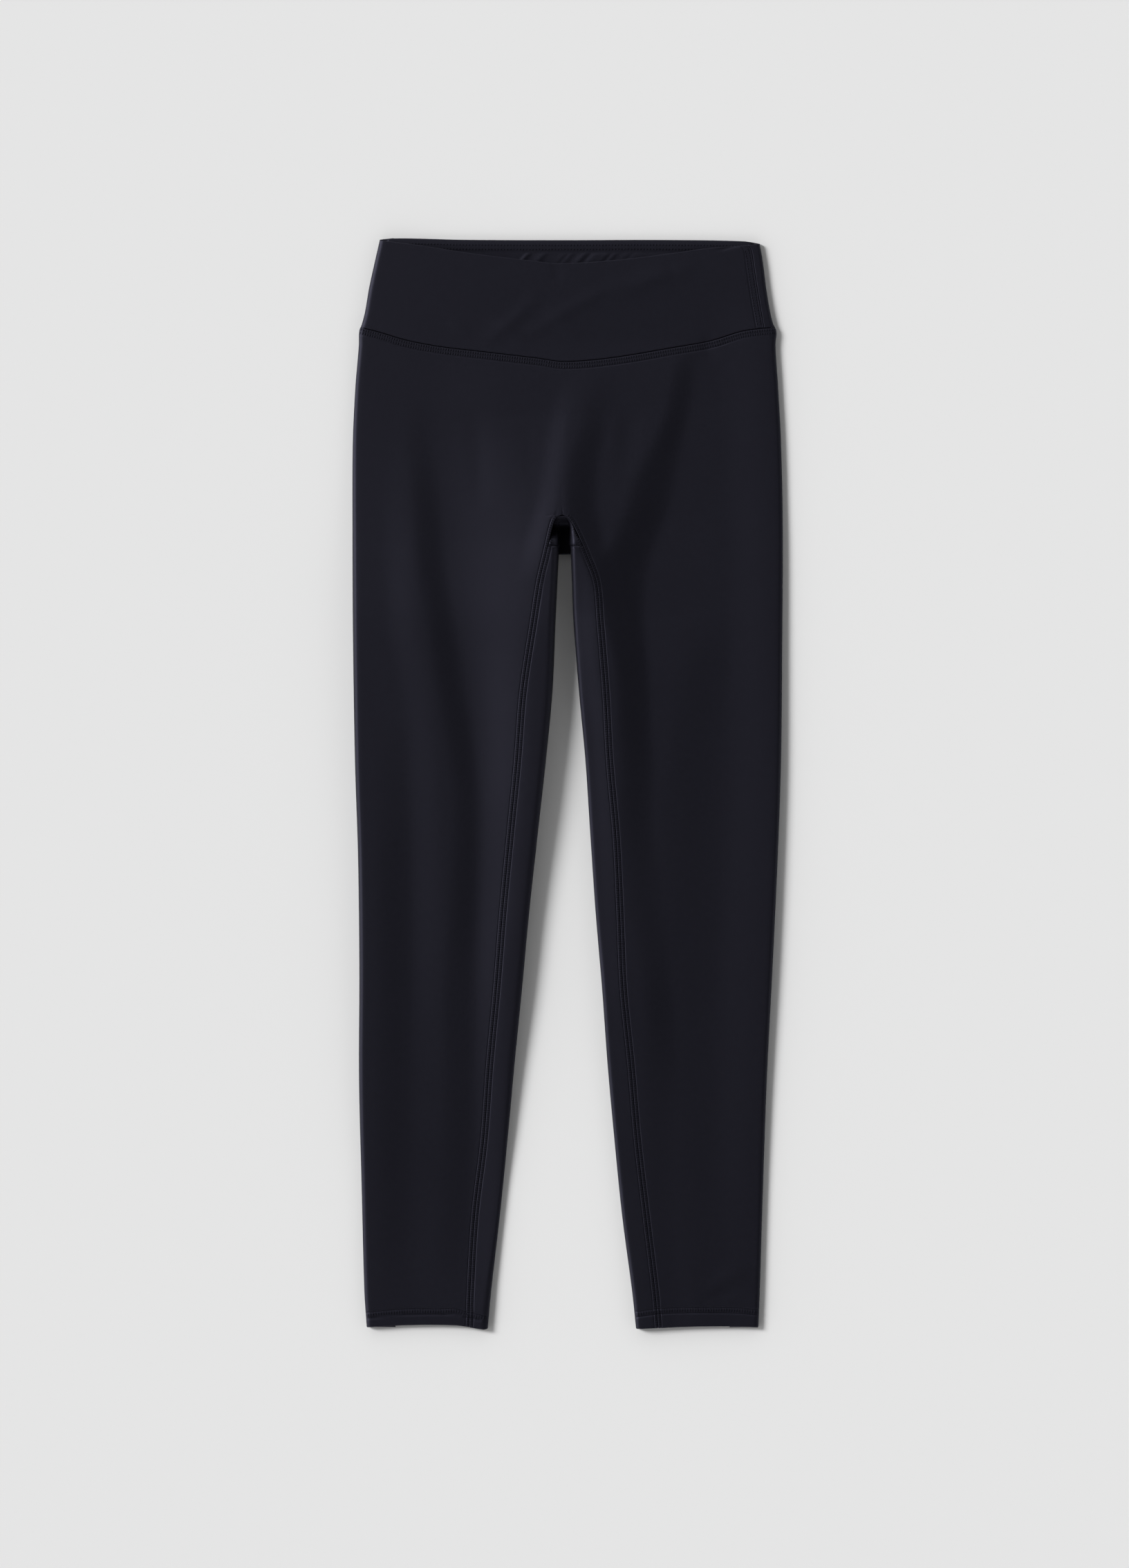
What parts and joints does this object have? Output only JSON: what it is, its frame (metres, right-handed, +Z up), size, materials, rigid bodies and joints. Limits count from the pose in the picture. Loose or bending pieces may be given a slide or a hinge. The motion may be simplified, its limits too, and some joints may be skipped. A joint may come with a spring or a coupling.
{
  "type": "leggings",
  "caption": "High-waisted black knit leggings laid flat, with a dipped yoke waistband, a one-piece front, inseams on the front, a gusset and turned-up hems.",
  "frame": {"origin": "on the surface that the garment lies on, under the middle of its outline", "axes": "+X to the right as seen from above, +Y from the hems towards the waist, +Z up from the surface, out of the front"},
  "size_m": [0.3734, 0.9453, 0.013],
  "materials": {
    "knit": "fine smooth knit with a soft low sheen",
    "facing": "fine smooth knit, matt inner face",
    "thread": "black polyester sewing thread"
  },
  "bodies": {
    "root": {"front": "knit", "back_left": "knit", "back_right": "knit", "gusset": "knit", "waistband_front": "knit", "waistband_back": "knit", "waistband_back_facing": "facing"}
  },
  "joints": []
}
